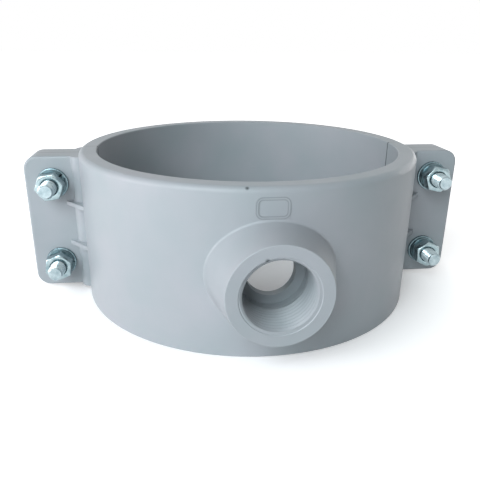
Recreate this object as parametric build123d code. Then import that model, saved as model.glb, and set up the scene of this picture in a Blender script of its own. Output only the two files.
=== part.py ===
from build123d import *
import os
from math import radians, sqrt, tan

# A two-piece moulded saddle bolted round a pipe, with a tapped branch outlet.
# Millimetres. The pipe's axis is Z, the outlet points along -Y, and the origin is
# where the two axes cross, halfway up the band.

# ---- driving dimensions ------------------------------------------------------------
# band
pipe_d = 160.0               # outside diameter of the pipe that the saddle grips
band_wall = 9.2
band_height = 78.0
top_round = 2.75             # outer edge of the upper rim
bottom_round = 0.8           # outer edge of the lower rim
bore_break = 0.4             # inner edges of both rims
parting_relief = 0.6         # bevel on each half's inner parting corner

# ears
ear_reach = 27.8             # each ear, outwards from the band
ear_drop = 3.0               # ends of the ears, in from the rims
ear_thickness = 10.0         # each half's share of the bolted joint
ear_corner_r = 7.0
ear_edge_round = 1.2
ear_root_r = 5.0             # fillet from the ear's face into the band
gusset_thickness = 2.2
gusset_reach = 8.4           # from the band, along the ear's face
gusset_rise = 12.0           # from the ear's face, up the band

# bolts and what is on them
bolt_d = 8.0
bolt_length = 40.0           # under the head
bolt_margin = 14.0           # from a bolt's axis to its ear's outer edge and end
bolt_tip_bevel = 0.9
hex_flats = 13.0
hex_bevel_deg = 30.0
hex_land = 0.97              # flat end of a hexagon, as a share of its flats
head_height = 5.3
nut_height = 6.8
nut_mouth_bevel = 0.4
washer_d = 16.0
washer_thickness = 1.6
lock_washer_d = 14.8
lock_washer_thickness = 2.0
lock_washer_slit = 1.6
lock_washer_slant_deg = 25.0
spanner_room_r = 11.5        # cleared round each nut and bolt head

# outlet
outlet_reach = 108.5         # from the pipe's axis to the outlet's face
outlet_face_r = 22.0
outlet_face_round = 0.4
side_draft_deg = 15.5        # the boss flares more towards the ears
end_draft_deg = 8.3          # than towards the rims
boss_root_r = 1.0
thread_crest_r = 15.15       # 1 inch parallel pipe thread
thread_root_r = 16.6
thread_lead = 0.3            # bevel round the mouth
thread_length = 20.0
counterbore_depth = 24.5     # plain from the end of the thread on
port_r = 11.0
badge_width = 14.0           # plain raised border above the outlet, bare inside
badge_height = 9.0
badge_corner_r = 2.8
badge_border = 1.0
badge_rise = 0.6
badge_lift = 30.2            # from the outlet's axis up to the border's middle
badge_shift = -0.5           # the border was set a little left of the outlet

# seal
seal_inner_r = 14.0
seal_outer_r = 19.0
seal_depth = 2.0

# fits
hole_clearance = 0.5         # bolt in ear, radial
thread_gap = 0.05            # bolt in nut, radial
washer_gap = 0.2             # bolt in washers, radial
seal_gap = 0.08              # seal in its groove

# ---- derived -----------------------------------------------------------------------
bore_r = pipe_d / 2
band_r = bore_r + band_wall
ear_span = 2 * (band_r + ear_reach)
ear_height = band_height - 2 * ear_drop
bolt_spread = ear_span - 2 * bolt_margin
bolt_pitch = ear_height - 2 * bolt_margin
gusset_pitch = bolt_pitch / 2
bolt_r = bolt_d / 2
hole_r = bolt_r + hole_clearance
washer_face_y = ear_thickness + washer_thickness
nut_seat_y = washer_face_y + lock_washer_thickness
deep = band_wall / 3         # how far an added form is sunk into the band
sides = {"left": -1, "right": 1}
levels = {"upper": 1, "lower": -1}
# each nut was run up until it was tight, so no two stop at the same angle
nut_turn_deg = {"upper_left": 8.0, "upper_right": 48.0, "lower_left": 21.0, "lower_right": 34.0}


def facing_out(shape, y, x=0.0, z=0.0):
    """Place a shape built up from the XY plane so that it rises along -Y from y."""
    return Pos(x, y, z) * Rot(X=90) * shape


def post(radius, height):
    """A round post that stands on the XY plane."""
    return Cylinder(radius, height, align=(Align.CENTER, Align.CENTER, Align.MIN))


# ---- the two moulded halves --------------------------------------------------------
def band_ring():
    """The closed band: a plain wall with its rim edges rounded."""
    with BuildPart() as ring:
        with BuildSketch(Plane.XZ) as wall:
            with Locations((bore_r + band_wall / 2, 0)):
                Rectangle(band_wall, band_height)
            chamfer(wall.vertices().group_by(Axis.X)[0], bore_break)
            fillet(wall.vertices().group_by(Axis.X)[-1].sort_by(Axis.Y)[-1], top_round)
            fillet(wall.vertices().group_by(Axis.X)[-1].sort_by(Axis.Y)[0], bottom_round)
        revolve(axis=Axis.Z)
    return ring.part


def ear():
    """The right ear of the front half, with the fillet that runs it into the band."""
    root_y = ear_thickness + ear_root_r
    root_x = sqrt((band_r + ear_root_r) ** 2 - root_y ** 2)
    on_band = band_r / (band_r + ear_root_r)
    in_band = (band_r - deep) / (band_r + ear_root_r)
    face_end = (root_x, -ear_thickness)
    fillet_end = (root_x * on_band, -root_y * on_band)
    buried = (root_x * in_band, -root_y * in_band)
    with BuildPart() as slab:
        with BuildSketch(Plane.XY.offset(-ear_height / 2)):
            with BuildLine():
                Polyline(buried, (bore_r + deep, 0), (ear_span / 2, 0),
                         (ear_span / 2, -ear_thickness), face_end)
                RadiusArc(face_end, fillet_end, ear_root_r)
                Line(fillet_end, buried)
            make_face()
        extrude(amount=ear_height)
        fillet(slab.edges().filter_by(Axis.Y).group_by(Axis.X)[-1], ear_corner_r)
        face = slab.faces().filter_by(Axis.Y).sort_by(Axis.Y)[0]
        fillet([e for e in face.edges() if e.center().X > root_x + deep / 10], ear_edge_round)
    return slab.part


def gusset():
    """A thin three-cornered rib between the right ear and the band."""
    toe_x = sqrt(band_r ** 2 - ear_thickness ** 2) + gusset_reach
    crest_y = ear_thickness + gusset_rise
    crest_x = sqrt(band_r ** 2 - crest_y ** 2)
    back_y = ear_thickness / 2
    with BuildPart() as rib:
        with BuildSketch(Plane.XY.offset(-gusset_thickness / 2)):
            with BuildLine():
                Polyline((toe_x, -back_y), (toe_x, -ear_thickness), (crest_x, -crest_y),
                         (crest_x - deep, -crest_y), (crest_x - deep, -back_y), close=True)
            make_face()
        extrude(amount=gusset_thickness)
    return rib.part


def clamp_half():
    """The front half of the band with its two ears, up to the parting plane."""
    front = Pos(0, -ear_span / 2, 0) * Box(ear_span, ear_span, ear_span)
    half = band_ring() & front
    right_ear = ear() + [Pos(0, 0, z) * gusset() for z in (-gusset_pitch / 2, gusset_pitch / 2)]
    half += right_ear
    half += mirror(right_ear, about=Plane.YZ)
    spanner_room = post(spanner_room_r, band_r)
    hole = post(hole_r, ear_thickness)
    relief = Rot(Z=45) * Box(parting_relief * sqrt(2), parting_relief * sqrt(2), band_height)
    for side in sides.values():
        for level in levels.values():
            at = {"x": side * bolt_spread / 2, "z": level * bolt_pitch / 2}
            half -= facing_out(spanner_room, -ear_thickness, **at)
            half -= facing_out(hole, 0, **at)
        half -= Pos(side * bore_r, 0, 0) * relief
    return half


def outlet_boss():
    """The tapered outlet: an oval root in the band, drawn down to a round face."""
    root_y = bore_r + deep / 2
    length = outlet_reach - root_y
    with BuildPart() as boss:
        with BuildSketch(Plane.XZ.offset(root_y)):
            Ellipse(outlet_face_r + length * tan(radians(side_draft_deg)),
                    outlet_face_r + length * tan(radians(end_draft_deg)))
        with BuildSketch(Plane.XZ.offset(outlet_reach)):
            Circle(outlet_face_r)
        loft(ruled=True)
        fillet(boss.faces().sort_by(Axis.Y)[0].edges(), outlet_face_round)
    return boss.part


def raised_border():
    """A plain rounded border that follows the band."""
    outer = RectangleRounded(badge_width, badge_height, badge_corner_r)
    inner = RectangleRounded(badge_width - 2 * badge_border, badge_height - 2 * badge_border,
                             badge_corner_r - badge_border)
    block = facing_out(extrude(outer - inner, band_wall), -bore_r, badge_shift, badge_lift)
    return block & (Cylinder(band_r + badge_rise, band_height) - Cylinder(band_r - deep, band_height))


def curved_ring(inner_r, outer_r, from_r, to_r):
    """A ring round the outlet's axis, between two radii of the pipe's axis."""
    ring = facing_out(post(outer_r, band_r) - post(inner_r, band_r), 0)
    return ring & (Cylinder(to_r, band_height) - Cylinder(from_r, band_height))


def outlet_half():
    """The front half, with its outlet bored, counterbored for thread and grooved for the seal."""
    half = clamp_half() + outlet_boss()
    bends = half.edges().filter_by(GeomType.BSPLINE)
    root = [edge for edge in bends if -band_r < edge.center().Y < -bore_r]
    half = fillet(root, boss_root_r)
    half += raised_border()
    half -= facing_out(post(port_r, outlet_reach), 0)
    half -= facing_out(post(thread_crest_r, counterbore_depth), counterbore_depth - outlet_reach)
    half -= facing_out(post(thread_root_r, thread_length), thread_length - outlet_reach)
    half -= facing_out(Cone(thread_root_r, thread_root_r + thread_lead, thread_lead),
                       thread_lead / 2 - outlet_reach)
    half -= curved_ring(seal_inner_r, seal_outer_r, bore_r - deep, bore_r + seal_depth)
    return half


def strap_half():
    """The rear half: the same clamp half without an outlet."""
    return mirror(clamp_half(), about=Plane.XZ)


def outlet_seal():
    """The rubber ring round the port, pressed level with the bore."""
    return curved_ring(seal_inner_r + seal_gap, seal_outer_r - seal_gap,
                       bore_r + seal_gap, bore_r + seal_depth - seal_gap)


# ---- fasteners, each built standing on the XY plane --------------------------------
def hexagon(height, bevel_foot=False):
    """A hexagon bar with its corners turned off at the top, and at the foot if asked."""
    corner_r = hex_flats / sqrt(3)
    land_r = hex_flats / 2 * hex_land
    drop = (corner_r - land_r) * tan(radians(hex_bevel_deg))
    with BuildPart() as turned:
        with BuildSketch(Plane.XZ):
            with BuildLine():
                Polyline((0, 0), (corner_r, 0), (corner_r, height - drop), (land_r, height),
                         (0, height), close=True)
            make_face()
        revolve(axis=Axis.Z)
    bar = extrude(RegularPolygon(hex_flats / 2, 6, major_radius=False), height) & turned.part
    if bevel_foot:
        bar &= Pos(0, 0, height) * Rot(X=180) * turned.part
    return bar


def bolt():
    """A hexagon bolt: the shank stands on the XY plane and the head is below it."""
    shank = post(bolt_r, bolt_length)
    shank = chamfer(shank.edges().filter_by(GeomType.CIRCLE).sort_by(Axis.Z)[-1], bolt_tip_bevel)
    return shank + Rot(X=180) * hexagon(head_height)


def nut():
    bored = hexagon(nut_height, bevel_foot=True) - post(bolt_r + thread_gap, nut_height)
    mouths = bored.edges().filter_by(GeomType.CIRCLE).group_by(SortBy.RADIUS)[0]
    return chamfer(mouths, nut_mouth_bevel)


def washer(outer_d, thickness):
    return post(outer_d / 2, thickness) - post(bolt_r + washer_gap, thickness)


def lock_washer():
    """A spring washer pulled flat, with its slanting slit almost closed."""
    ring = washer(lock_washer_d, lock_washer_thickness)
    slit = Box(lock_washer_d, lock_washer_slit, 4 * lock_washer_thickness)
    tilted = Rot(X=lock_washer_slant_deg) * slit
    return ring - Pos(lock_washer_d / 2, 0, lock_washer_thickness / 2) * tilted


# ---- the assembly ------------------------------------------------------------------
def bolt_set(name, x, z):
    """The five pieces of one bolted joint, by node name."""
    turn = nut_turn_deg[name]
    flat = washer(washer_d, washer_thickness)
    return {
        f"bolt_{name}": facing_out(Rot(Z=-turn) * bolt(), washer_face_y, x, z),
        f"rear_washer_{name}": facing_out(flat, washer_face_y, x, z),
        f"front_washer_{name}": facing_out(flat, -ear_thickness, x, z),
        f"lock_washer_{name}": facing_out(Rot(Z=turn * 3) * lock_washer(), -washer_face_y, x, z),
        f"nut_{name}": facing_out(Rot(Z=turn) * nut(), -nut_seat_y, x, z),
    }


nodes = {"outlet_half": outlet_half(), "strap_half": strap_half(), "outlet_seal": outlet_seal()}
for level_name, level in levels.items():
    for side_name, side in sides.items():
        place = f"{level_name}_{side_name}"
        nodes.update(bolt_set(place, side * bolt_spread / 2, level * bolt_pitch / 2))

os.makedirs("parts", exist_ok=True)
for node, shape in nodes.items():
    shape.label = node
    export_step(shape, f"parts/{node}.step")
    print(f"{node}: {len(shape.solids())} solid, {shape.volume / 1000:.2f} cm3, valid {shape.is_valid}")
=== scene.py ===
from math import cos, pi, radians, sin, sqrt, tan

import bmesh
import bpy
from mathutils import Matrix, Vector


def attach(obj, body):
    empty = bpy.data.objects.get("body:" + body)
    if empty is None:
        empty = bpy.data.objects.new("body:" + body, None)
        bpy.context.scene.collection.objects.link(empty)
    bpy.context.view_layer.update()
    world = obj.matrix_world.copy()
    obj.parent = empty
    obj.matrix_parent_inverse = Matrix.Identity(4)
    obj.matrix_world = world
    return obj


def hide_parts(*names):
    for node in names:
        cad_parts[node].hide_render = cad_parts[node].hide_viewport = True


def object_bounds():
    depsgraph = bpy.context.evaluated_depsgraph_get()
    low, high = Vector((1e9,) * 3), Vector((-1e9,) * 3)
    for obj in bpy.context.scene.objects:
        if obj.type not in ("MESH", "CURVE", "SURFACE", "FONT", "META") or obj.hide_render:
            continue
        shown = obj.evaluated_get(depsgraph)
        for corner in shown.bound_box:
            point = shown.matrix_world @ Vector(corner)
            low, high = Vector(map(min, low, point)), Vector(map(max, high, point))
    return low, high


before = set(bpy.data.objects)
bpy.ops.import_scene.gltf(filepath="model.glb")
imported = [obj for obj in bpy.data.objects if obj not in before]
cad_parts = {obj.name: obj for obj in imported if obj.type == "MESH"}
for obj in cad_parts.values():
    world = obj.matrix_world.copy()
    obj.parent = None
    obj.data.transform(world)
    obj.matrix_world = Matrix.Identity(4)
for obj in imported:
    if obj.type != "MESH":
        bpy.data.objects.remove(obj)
cad_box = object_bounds()

# ---- camera --------------------------------------------------------------------------
# It looks down on the outlet from the front and slightly from the left, from about 30 cm.
camera = bpy.data.objects.new("camera", bpy.data.cameras.new("camera"))
bpy.context.collection.objects.link(camera)
turn, drop, roll = radians(-6.74), radians(20.89), radians(0.55)
sight = Vector((-sin(turn) * cos(drop), cos(turn) * cos(drop), -sin(drop)))
level_right = Vector((cos(turn), sin(turn), 0))
level_up = level_right.cross(sight)
right = level_right * cos(roll) + level_up * sin(roll)
up = level_up * cos(roll) - level_right * sin(roll)
stance = Matrix((right, up, -sight)).transposed().to_4x4()
camera.matrix_world = Matrix.Translation((-0.03788, -0.29169, 0.0950)) @ stance
camera.data.sensor_width = 36
camera.data.lens = 40.37
camera.data.clip_start = 0.01
bpy.context.scene.camera = camera


# ---- the two moulded halves ----------------------------------------------------------
# Grey rigid PVC, injection moulded in polished steel tools. The surface is satin, with the
# slight unevenness of a thick moulding, and a little cloudy where the pigment mixed poorly.
def linear(hex_colour):
    """An sRGB hex colour as the linear colour that a shader takes."""
    channels = [int(hex_colour[i:i + 2], 16) / 255 for i in (1, 3, 5)]
    return [c / 12.92 if c <= 0.04045 else ((c + 0.055) / 1.055) ** 2.4 for c in channels] + [1]


def add(tree, kind, settings=None, links=None):
    """Add a node with its settings, its sockets' values and its incoming links."""
    node = tree.nodes.new(kind)
    for key, value in (settings or {}).items():
        if isinstance(key, str) and hasattr(node, key):
            setattr(node, key, value)
        else:
            node.inputs[key].default_value = value
    for socket, source in (links or {}).items():
        tree.links.new(source, node.inputs[socket])
    return node


def new_material(name):
    """An empty material with its output and shader, and the object's own coordinates."""
    material = bpy.data.materials.new(name)
    material.use_nodes = True
    tree = material.node_tree
    tree.nodes.clear()
    shader = add(tree, "ShaderNodeBsdfPrincipled")
    add(tree, "ShaderNodeOutputMaterial", links={"Surface": shader.outputs["BSDF"]})
    place = add(tree, "ShaderNodeTexCoord").outputs["Object"]
    return material, tree, shader, place


def ramp_between(tree, source, low, high, low_colour, high_colour):
    """Two colours, blended as the source rises from low to high."""
    ramp = add(tree, "ShaderNodeValToRGB", links={"Fac": source})
    for stop, at, colour in zip(ramp.color_ramp.elements, (low, high), (low_colour, high_colour)):
        stop.position = at
        stop.color = linear(colour)
    return ramp.outputs["Color"]


def spot(tree, place, centre_mm, radius_mm, soft_mm):
    """A round mark: 1 at its centre, falling to 0 at its edge."""
    centre = [c / 1000 for c in centre_mm]
    away = add(tree, "ShaderNodeVectorMath", {"operation": "DISTANCE", 1: centre}, {0: place})
    fade = add(tree, "ShaderNodeMapRange", {"From Min": (radius_mm - soft_mm) / 1000,
                                            "From Max": radius_mm / 1000, "To Min": 1, "To Max": 0},
               {"Value": away.outputs["Value"]})
    return fade.outputs["Result"]


moulded_pvc, tree, shader, place = new_material("moulded_grey_pvc")
shader.inputs["IOR"].default_value = 1.53
shader.inputs["Specular IOR Level"].default_value = 0.4
# pigment clouds, some 30 mm across
clouds = add(tree, "ShaderNodeTexNoise", {"Scale": 1 / 0.030, "Detail": 3}, {"Vector": place})
grey = ramp_between(tree, clouds.outputs["Fac"], 0.3, 0.7, "#9fa8ac", "#a8acb1")
# a speck of burnt material in the front rim, painted shade for a nick in the outlet's mouth, and the dark
# joint line where the halves meet, dirt with painted shade of the gap, widest inside the bore where the
# corners are broken
speck = spot(tree, place, (-11.1, -87.6, 38.4), 1.1, 0.9)
# painted shade: a dark spot stands in for the shade inside a nick in the outlet's mouth
nick_shade = spot(tree, place, (-5.6, -108.4, 15.6), 1.3, 1.0)
marks = add(tree, "ShaderNodeMath", {"operation": "MAXIMUM"}, {0: speck, 1: nick_shade})
depth = add(tree, "ShaderNodeSeparateXYZ", links={"Vector": place}).outputs["Y"]
off_joint = add(tree, "ShaderNodeMath", {"operation": "ABSOLUTE"}, {0: depth})
bore_r = 0.080
level_place = add(tree, "ShaderNodeVectorMath", {"operation": "MULTIPLY", 1: (1, 1, 0)}, {0: place})
from_axis = add(tree, "ShaderNodeVectorMath", {"operation": "LENGTH"}, {0: level_place.outputs["Vector"]})
thinning = add(tree, "ShaderNodeMapRange",
               {"From Min": bore_r + 0.0003, "From Max": bore_r + 0.0015, "To Min": 1, "To Max": 2.5},
               {"Value": from_axis.outputs["Value"]})
thinned = add(tree, "ShaderNodeMath", {"operation": "MULTIPLY"},
              {0: off_joint.outputs["Value"], 1: thinning.outputs["Result"]})
# the joint line is dirt plus painted shade of the gap between the halves
joint_dirt_and_shade = add(tree, "ShaderNodeMapRange",
                 {"From Min": 0.0005, "From Max": 0.0009, "To Min": 0.75, "To Max": 0},
                 {"Value": thinned.outputs["Value"]})
marks = add(tree, "ShaderNodeMath", {"operation": "MAXIMUM"},
            {0: marks.outputs["Value"], 1: joint_dirt_and_shade.outputs["Result"]})
# painted shade along both edges of the raised border, found as a distance from a rounded oblong
half_wide, half_high, corner_r, border_wide = 0.007, 0.0045, 0.0028, 0.001
straights = (half_wide - corner_r, 1, half_high - corner_r)
centred = add(tree, "ShaderNodeVectorMath", {"operation": "SUBTRACT", 1: (-0.0005, 0, 0.0302)}, {0: place})
folded = add(tree, "ShaderNodeVectorMath", {"operation": "ABSOLUTE"}, {0: centred.outputs["Vector"]})
cornered = add(tree, "ShaderNodeVectorMath", {"operation": "SUBTRACT", 1: straights},
               {0: folded.outputs["Vector"]})
outside = add(tree, "ShaderNodeVectorMath", {"operation": "MAXIMUM", 1: (0, 0, 0)},
              {0: cornered.outputs["Vector"]})
span = add(tree, "ShaderNodeVectorMath", {"operation": "LENGTH"}, {0: outside.outputs["Vector"]})
from_middle = add(tree, "ShaderNodeMath", {"operation": "SUBTRACT", 1: corner_r - border_wide / 2},
                  {0: span.outputs["Value"]})
either_side = add(tree, "ShaderNodeMath", {"operation": "ABSOLUTE"}, {0: from_middle.outputs["Value"]})
from_edge = add(tree, "ShaderNodeMath", {"operation": "SUBTRACT", 1: border_wide / 2},
                {0: either_side.outputs["Value"]})
edge = add(tree, "ShaderNodeMath", {"operation": "ABSOLUTE"}, {0: from_edge.outputs["Value"]})
border_shade = add(tree, "ShaderNodeMapRange", {"From Min": 0.0001, "From Max": 0.0004, "To Min": 0.3, "To Max": 0},
            {"Value": edge.outputs["Value"]})
front = add(tree, "ShaderNodeMath", {"operation": "LESS_THAN", 1: -0.084}, {0: depth})
front_border_shade = add(tree, "ShaderNodeMath", {"operation": "MULTIPLY"},
                  {0: border_shade.outputs["Result"], 1: front.outputs["Value"]})
marks = add(tree, "ShaderNodeMath", {"operation": "MAXIMUM"},
            {0: marks.outputs["Value"], 1: front_border_shade.outputs["Value"]})
# the dark colour paints the burnt speck, and painted shade for the nick, the joint and the border's edges
marked = add(tree, "ShaderNodeMix", {"data_type": "RGBA", 7: linear("#3c4446")},
             {0: marks.outputs["Value"], 6: grey})
tree.links.new(marked.outputs[2], shader.inputs["Base Color"])
# handling has left the satin finish uneven over about 12 mm
wear = add(tree, "ShaderNodeTexNoise", {"Scale": 1 / 0.012, "Detail": 4}, {"Vector": place})
sheen = add(tree, "ShaderNodeMapRange", {"To Min": 0.36, "To Max": 0.5}, {"Value": wear.outputs["Fac"]})
tree.links.new(sheen.outputs["Result"], shader.inputs["Roughness"])
# the tool's own polish, about 1 mm from crest to crest
orange_peel = add(tree, "ShaderNodeTexNoise", {"Scale": 1 / 0.0011, "Detail": 2}, {"Vector": place})
bump = add(tree, "ShaderNodeBump", {"Strength": 0.12, "Distance": 0.00012},
           {"Height": orange_peel.outputs["Fac"]})
tree.links.new(bump.outputs["Normal"], shader.inputs["Normal"])
for half in ("outlet_half", "strap_half"):
    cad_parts[half].material_slots[0].material = moulded_pvc


# ---- outlet seal ---------------------------------------------------------------------
# A black rubber ring, cut from moulded sheet and pressed into its groove round the port.
seal_rubber, tree, shader, place = new_material("black_epdm_rubber")
shader.inputs["IOR"].default_value = 1.52
bloom = add(tree, "ShaderNodeTexNoise", {"Scale": 1 / 0.006, "Detail": 5}, {"Vector": place})
tree.links.new(ramp_between(tree, bloom.outputs["Fac"], 0.35, 0.75, "#1c1d1e", "#2b2c2d"),
               shader.inputs["Base Color"])
matt = add(tree, "ShaderNodeMapRange", {"To Min": 0.6, "To Max": 0.8}, {"Value": bloom.outputs["Fac"]})
tree.links.new(matt.outputs["Result"], shader.inputs["Roughness"])
grain = add(tree, "ShaderNodeTexNoise", {"Scale": 1 / 0.0005, "Detail": 2}, {"Vector": place})
bump = add(tree, "ShaderNodeBump", {"Strength": 0.3, "Distance": 0.0001}, {"Height": grain.outputs["Fac"]})
tree.links.new(bump.outputs["Normal"], shader.inputs["Normal"])
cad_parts["outlet_seal"].material_slots[0].material = seal_rubber


# ---- outlet thread -------------------------------------------------------------------
# The 1 inch parallel pipe thread of the outlet, 11 turns to the inch, moulded in the same
# PVC as the boss. It starts just inside the mouth and runs out at the counterbore.
def finish_piece(shape, name, turned_deg, y_mm, x_mm, z_mm, material, slot, *nodes):
    """Set a piece built up from z = 0 in millimetres in its place, rising along -Y."""
    seat = (Matrix.Scale(0.001, 4) @ Matrix.Translation((x_mm, y_mm, z_mm))
            @ Matrix.Rotation(radians(90), 4, "X") @ Matrix.Rotation(radians(turned_deg), 4, "Z"))
    bmesh.ops.transform(shape, matrix=seat, verts=shape.verts)
    bmesh.ops.recalc_face_normals(shape, faces=shape.faces)
    mesh = bpy.data.meshes.new(name)
    shape.to_mesh(mesh)
    shape.free()
    mesh.shade_smooth()
    mesh.set_sharp_from_angle(angle=radians(32))
    mesh.materials.append(material)
    piece = bpy.data.objects.new(name, mesh)
    bpy.context.collection.objects.link(piece)
    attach(piece, "root")
    if nodes:
        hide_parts(*nodes)


def screw(shape, corners, pitch, z_from, z_to, steps=28):
    """Wind a section of (radius, share of the pitch) corners up the Z axis, right-handed."""
    line = [shape.verts.new((r, 0, z_from - pitch + along * pitch)) for r, along in corners]
    flanks = [shape.edges.new(pair) for pair in zip(line, line[1:])]
    turns = int((z_to - z_from) / pitch) + 2
    bmesh.ops.spin(shape, geom=line + flanks, axis=(0, 0, 1), cent=(0, 0, 0), use_merge=False,
                   dvec=(0, 0, pitch / steps), angle=2 * pi * turns, steps=steps * turns)
    bmesh.ops.remove_doubles(shape, verts=shape.verts, dist=0.001)
    for z, outwards in ((z_from, -1), (z_to, 1)):
        geometry = list(shape.verts) + list(shape.edges) + list(shape.faces)
        bmesh.ops.bisect_plane(shape, geom=geometry, plane_co=(0, 0, z), plane_no=(0, 0, outwards),
                               clear_outer=True)


pipe_pitch = 25.4 / 11
thread_root_r = 16.6
outlet_face_y = -108.5
outlet_thread_depth = 20
# radius and share of the pitch, from one root over the crest to the next
thread_section = ((16.55, 0), (16.45, 0.08), (15.35, 0.38), (15.17, 0.46), (15.17, 0.54), (15.35, 0.62),
                  (16.45, 0.92), (16.55, 1))
outlet_thread = bmesh.new()
screw(outlet_thread, thread_section, pipe_pitch, 0, outlet_thread_depth - 0.3, steps=96)
open_ends = [e for e in outlet_thread.edges if e.is_boundary]
outer = bmesh.ops.extrude_edge_only(outlet_thread, edges=open_ends)["geom"]
for vertex in (v for v in outer if isinstance(v, bmesh.types.BMVert)):
    vertex.co.xy = vertex.co.xy.normalized() * thread_root_r
finish_piece(outlet_thread, "moulded_outlet_thread", -60, outlet_face_y + outlet_thread_depth, 0, 0,
             moulded_pvc, "moulded_pvc")


# ---- bolts ---------------------------------------------------------------------------
# M8 hexagon bolts in mild steel, cold headed with rolled thread, then bright zinc plated.
# Each is put in from behind, so its tip stands out of the nut at the front.
def zinc_plate(name, dull_hex, bright_hex, smoothest, roughest):
    """Bright zinc over steel: a faintly blue, cloudy metal with soft reflections."""
    material, tree, shader, place = new_material(name)
    shader.inputs["Metallic"].default_value = 1
    # crystals of zinc show as clouds of 2 to 3 mm
    bath = add(tree, "ShaderNodeTexNoise", {"Scale": 1 / 0.0025, "Detail": 4}, {"Vector": place})
    tree.links.new(ramp_between(tree, bath.outputs["Fac"], 0.3, 0.7, dull_hex, bright_hex),
                   shader.inputs["Base Color"])
    gloss = add(tree, "ShaderNodeMapRange", {"To Min": smoothest, "To Max": roughest},
                {"Value": bath.outputs["Fac"]})
    tree.links.new(gloss.outputs["Result"], shader.inputs["Roughness"])
    # marks of rolling and tumbling, drawn at 0.4 mm so that they show
    scuffs = add(tree, "ShaderNodeTexNoise", {"Scale": 1 / 0.0004, "Detail": 3}, {"Vector": place})
    bump = add(tree, "ShaderNodeBump", {"Strength": 0.25, "Distance": 0.00005},
               {"Height": scuffs.outputs["Fac"]})
    tree.links.new(bump.outputs["Normal"], shader.inputs["Normal"])
    return material


def turned_corner_z(vertex, height, flats):
    """How high a hexagon's end stands at a vertex, where its corners are turned off at 30 deg."""
    land_r = flats / 2 * 0.97
    return height - max(0.0, vertex.co.xy.length - land_r) * tan(radians(30))


def hexagon_bar(flats, height):
    """An open hexagonal tube with corners turned off at the top. Gives its two end rims."""
    shape = bmesh.new()
    bmesh.ops.create_circle(shape, segments=6, radius=flats / sqrt(3),
                            matrix=Matrix.Rotation(radians(-90), 4, "Z"))
    bmesh.ops.subdivide_edges(shape, edges=shape.edges, cuts=11)
    foot = list(shape.edges)
    raised = bmesh.ops.extrude_edge_only(shape, edges=foot)["geom"]
    for vertex in (v for v in raised if isinstance(v, bmesh.types.BMVert)):
        vertex.co.z = turned_corner_z(vertex, height, flats)
    return shape, foot, [e for e in raised if isinstance(e, bmesh.types.BMEdge)]


def draw_in(shape, rim, radius, z):
    """Run an end face inwards from a rim to a circle at z. Gives the circle's edges."""
    inner = bmesh.ops.extrude_edge_only(shape, edges=rim)["geom"]
    for vertex in (v for v in inner if isinstance(v, bmesh.types.BMVert)):
        vertex.co = vertex.co.xy.normalized().to_3d() * radius + Vector((0, 0, z))
    return [e for e in inner if isinstance(e, bmesh.types.BMEdge)]


def soften(shape, sharper_than_deg, width):
    """Round every edge that turns by more than an angle."""
    sharp = [e for e in shape.edges if e.is_manifold and e.calc_face_angle() > radians(sharper_than_deg)]
    bmesh.ops.bevel(shape, geom=sharp, offset=width, affect="EDGES", segments=2, profile=0.5,
                    material=-1, clamp_overlap=True)


bolt_zinc = zinc_plate("bolt_zinc_plate", "#92a5ab", "#b6c4c8", 0.16, 0.3)
ear_thickness = 10
washer_thickness = 1.6
lock_washer_thickness = 2.0
hex_flats = 13
land_r = 6.3
bolt_length = 40
head_height = 5.3
thread_length = 24
tip_bevel = 0.9
shank_r = 3.95
bolt_section = ((3.35, 0), (3.35, 0.25), (shank_r, 0.56), (shank_r, 0.69), (3.35, 1))
joints_at = {"upper_left": (-103, 22), "upper_right": (103, 22),
             "lower_left": (-103, -22), "lower_right": (103, -22)}
nut_turns = {"upper_left": 8, "upper_right": 48, "lower_left": 21, "lower_right": 34}
for joint, (x, z) in joints_at.items():
    thread = bmesh.new()
    screw(thread, bolt_section, 1.25, bolt_length - thread_length, bolt_length)
    for vertex in thread.verts:
        tip_r = shank_r - tip_bevel + bolt_length - vertex.co.z
        if vertex.co.xy.length > tip_r:
            vertex.co.xy *= tip_r / vertex.co.xy.length
    bmesh.ops.holes_fill(thread, edges=[e for e in thread.edges if e.is_boundary], sides=0)
    shank = bmesh.ops.create_circle(thread, segments=48, radius=shank_r)["verts"]
    ring = list({e for v in shank for e in v.link_edges})
    grown = bmesh.ops.extrude_edge_only(thread, edges=ring)["geom"]
    for vertex in (v for v in grown if isinstance(v, bmesh.types.BMVert)):
        vertex.co.z = bolt_length - thread_length + 0.4
    bmesh.ops.holes_fill(thread, edges=[e for e in grown if isinstance(e, bmesh.types.BMEdge)], sides=0)
    head, foot, top = hexagon_bar(hex_flats, head_height)
    land = draw_in(head, top, land_r, head_height)
    bmesh.ops.holes_fill(head, edges=land, sides=0)
    bmesh.ops.holes_fill(head, edges=foot, sides=0)
    soften(head, 40, 0.18)
    bmesh.ops.rotate(head, verts=head.verts, matrix=Matrix.Rotation(pi, 3, "X"))
    spare = bpy.data.meshes.new("head")
    head.to_mesh(spare)
    head.free()
    thread.from_mesh(spare)
    bpy.data.meshes.remove(spare)
    finish_piece(thread, f"threaded_bolt_{joint}", -nut_turns[joint], ear_thickness + washer_thickness,
                 x, z, bolt_zinc, "bolt_zinc", f"bolt_{joint}")


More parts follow.
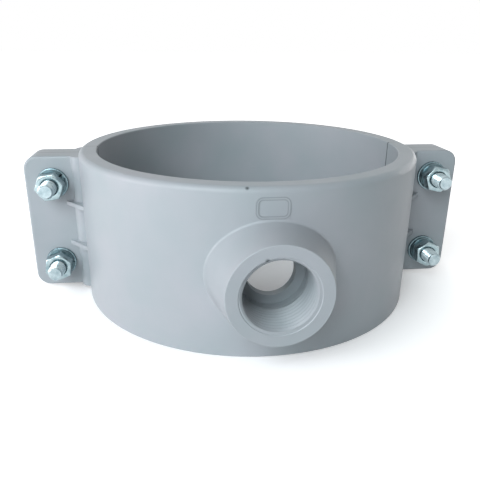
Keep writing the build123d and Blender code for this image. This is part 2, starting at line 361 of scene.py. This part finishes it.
# ---- nuts ----------------------------------------------------------------------------
# M8 hexagon nuts, hot formed and tapped, with both ends turned and bright zinc plated.
nut_zinc = zinc_plate("nut_zinc_plate", "#8a9fa5", "#afbfc2", 0.15, 0.28)
nut_height = 6.8
nut_mouth_r, nut_bore_r, mouth_bevel = 4.45, 4.02, 0.45
nut_seat_y = -(ear_thickness + washer_thickness + lock_washer_thickness)
for joint, (x, z) in joints_at.items():
    nut, foot, top = hexagon_bar(hex_flats, nut_height)
    for vertex in {v for e in foot for v in e.verts}:
        vertex.co.z = nut_height - turned_corner_z(vertex, nut_height, hex_flats)
    land = draw_in(nut, top, land_r, nut_height)
    countersink = draw_in(nut, land, nut_mouth_r, nut_height)
    bore_top = draw_in(nut, countersink, nut_bore_r, nut_height - mouth_bevel)
    seat = draw_in(nut, foot, land_r, 0)
    seat_edge = draw_in(nut, seat, nut_mouth_r, 0)
    bore_foot = draw_in(nut, seat_edge, nut_bore_r, mouth_bevel)
    bmesh.ops.bridge_loops(nut, edges=bore_top + bore_foot)
    soften(nut, 40, 0.18)
    finish_piece(nut, f"chamfered_nut_{joint}", nut_turns[joint], nut_seat_y, x, z, nut_zinc,
                 "nut_zinc", f"nut_{joint}")


# ---- flat washers --------------------------------------------------------------------
# Stamped from strip, so the edges of one face are rolled over, and zinc plated.
def lathe(profile, angle=2 * pi, steps=72):
    """A ring turned from (radius, z) corners, which run right round a section."""
    shape = bmesh.new()
    corners = [shape.verts.new((r, 0, z)) for r, z in profile]
    outline = [shape.edges.new(pair) for pair in zip(corners, corners[1:] + corners[:1])]
    whole = angle == 2 * pi
    bmesh.ops.spin(shape, geom=corners + outline, axis=(0, 0, 1), cent=(0, 0, 0), angle=angle,
                   steps=steps, use_merge=whole)
    if not whole:
        bmesh.ops.holes_fill(shape, edges=[e for e in shape.edges if e.is_boundary], sides=0)
    return shape


washer_zinc = zinc_plate("washer_zinc_plate", "#6a8087", "#8ea1a6", 0.2, 0.34)
washer_section = [(4.2, 0.12), (4.32, 0), (7.85, 0), (8.0, 0.15), (8.0, 1.2), (7.88, 1.48), (7.6, 1.6),
                  (4.5, 1.6), (4.2, 1.35)]
for joint, (x, z) in joints_at.items():
    finish_piece(lathe(washer_section), f"stamped_front_washer_{joint}", 0, -ear_thickness, x, z,
                 washer_zinc, "washer_zinc", f"front_washer_{joint}")
    finish_piece(lathe(washer_section), f"stamped_rear_washer_{joint}", 0, ear_thickness + washer_thickness,
                 x, z, washer_zinc, "washer_zinc", f"rear_washer_{joint}")


# ---- spring washers ------------------------------------------------------------------
# Coiled from square spring steel and cut off at a slant, then pulled flat under the nut.
spring_steel = zinc_plate("spring_zinc_plate", "#566a70", "#7d8f94", 0.26, 0.42)
coil_mean_r = 5.8
slit_angle = 1.6 / coil_mean_r
spring_section = [(4.2, 0.15), (4.35, 0), (7.2, 0), (7.4, 0.2), (7.4, 1.8), (7.2, 2.0), (4.35, 2.0),
                  (4.2, 1.85)]
slits_at = {"upper_left": 35, "upper_right": 310, "lower_left": 8, "lower_right": 335}
for joint, (x, z) in joints_at.items():
    coil = lathe(spring_section, 2 * pi - slit_angle, 70)
    for vertex in coil.verts:
        slant = (vertex.co.z - lock_washer_thickness / 2) * tan(radians(25)) / coil_mean_r
        vertex.co = Matrix.Rotation(slit_angle / 2 + slant, 3, "Z") @ vertex.co
    finish_piece(coil, f"split_washer_{joint}", slits_at[joint], -(ear_thickness + washer_thickness),
                 x, z, spring_steel, "spring_steel", f"lock_washer_{joint}")


# ---- floor and backdrop --------------------------------------------------------------
# A white table that runs out of sight, under a white surround. Camera and glossy rays see it glow
# with painted light, which fades towards the saddle and is weakest inside the ring, where it reads as
# shaded.
floor_shape = bmesh.new()
bmesh.ops.create_grid(floor_shape, x_segments=1, y_segments=1, size=4,
                      matrix=Matrix.Translation((0, 0, cad_box[0].z)))
floor_mesh = bpy.data.meshes.new("floor")
floor_shape.to_mesh(floor_mesh)
floor_shape.free()
floor = bpy.data.objects.new("floor", floor_mesh)
bpy.context.collection.objects.link(floor)
table_white = bpy.data.materials.new("white_table")
table_white.use_nodes = True
tree = table_white.node_tree
tree.nodes.clear()
place = add(tree, "ShaderNodeTexCoord").outputs["Object"]
away = add(tree, "ShaderNodeVectorMath", {"operation": "DISTANCE", 1: (0, 0, cad_box[0].z)}, {0: place})
# painted light: the glow is cut low inside the ring and thinned towards the saddle, so the floor there looks
# shaded
near = add(tree, "ShaderNodeMapRange", {"From Min": 0.08, "From Max": 0.13, "To Min": 0.25, "To Max": 1},
           {"Value": away.outputs["Value"]})
far = add(tree, "ShaderNodeMapRange", {"From Min": 0.14, "From Max": 0.4, "To Min": 0.68, "To Max": 1},
          {"Value": away.outputs["Value"]})
level = add(tree, "ShaderNodeMath", {"operation": "MULTIPLY"},
            {0: near.outputs["Result"], 1: far.outputs["Result"]})
path = add(tree, "ShaderNodeLightPath")
seen = add(tree, "ShaderNodeMath", {"operation": "MAXIMUM"},
           {0: path.outputs["Is Camera Ray"], 1: path.outputs["Is Glossy Ray"]})
lift = add(tree, "ShaderNodeMath", {"operation": "MULTIPLY"},
           {0: seen.outputs["Value"], 1: level.outputs["Value"]})
painted = add(tree, "ShaderNodeBsdfDiffuse", {"Color": linear("#f0f0f0")})
glow = add(tree, "ShaderNodeEmission", {"Color": linear("#ffffff")}, {"Strength": lift.outputs["Value"]})
both = add(tree, "ShaderNodeAddShader", links={0: painted.outputs["BSDF"], 1: glow.outputs["Emission"]})
add(tree, "ShaderNodeOutputMaterial", links={"Surface": both.outputs["Shader"]})
floor_mesh.materials.append(table_white)


# ---- lights --------------------------------------------------------------------------
# The main lamp stands at the front, high on the left, with a low one beside it. A weak
# lamp behind and the white surround keep the far sides from going dark.
def soft_lamp(name, direction, distance, size, tint, watts):
    """A square lamp that faces the saddle from a direction."""
    lamp = bpy.data.objects.new(name, bpy.data.lights.new(name, "AREA"))
    bpy.context.collection.objects.link(lamp)
    lamp.data.size = size
    lamp.data.energy = watts
    lamp.data.color = linear(tint)[:3]
    towards = Vector(direction).normalized()
    facing = towards.to_track_quat("Z", "Y").to_matrix().to_4x4()
    lamp.matrix_world = Matrix.Translation(towards * distance) @ facing


soft_lamp("main_lamp", (-0.5, -0.8, 0.6), 0.95, 0.6, "#f0faff", 7.2)
soft_lamp("left_lamp", (-1.0, -0.25, 0.15), 0.85, 0.5, "#fff4f7", 3.9)
soft_lamp("back_lamp", (0.85, 0.6, 0.08), 0.95, 0.6, "#ffffff", 2.2)

world = bpy.data.worlds.new("white_surround")
bpy.context.scene.world = world
world.use_nodes = True
tree = world.node_tree
tree.nodes.clear()
path = add(tree, "ShaderNodeLightPath")
camera_or_glossy = add(tree, "ShaderNodeMath", {"operation": "MAXIMUM"},
                       {0: path.outputs["Is Camera Ray"], 1: path.outputs["Is Glossy Ray"]})
direct = add(tree, "ShaderNodeMath", {"operation": "MAXIMUM"},
             {0: camera_or_glossy.outputs["Value"], 1: path.outputs["Is Transmission Ray"]})
strength = add(tree, "ShaderNodeMapRange", {"To Min": 0.15, "To Max": 1.0},
               {"Value": direct.outputs["Value"]})
surround = add(tree, "ShaderNodeBackground", {"Color": linear("#ffffff")},
               {"Strength": strength.outputs["Result"]})
add(tree, "ShaderNodeOutputWorld", links={"Surface": surround.outputs["Background"]})
bpy.context.scene.view_settings.view_transform = "Standard"
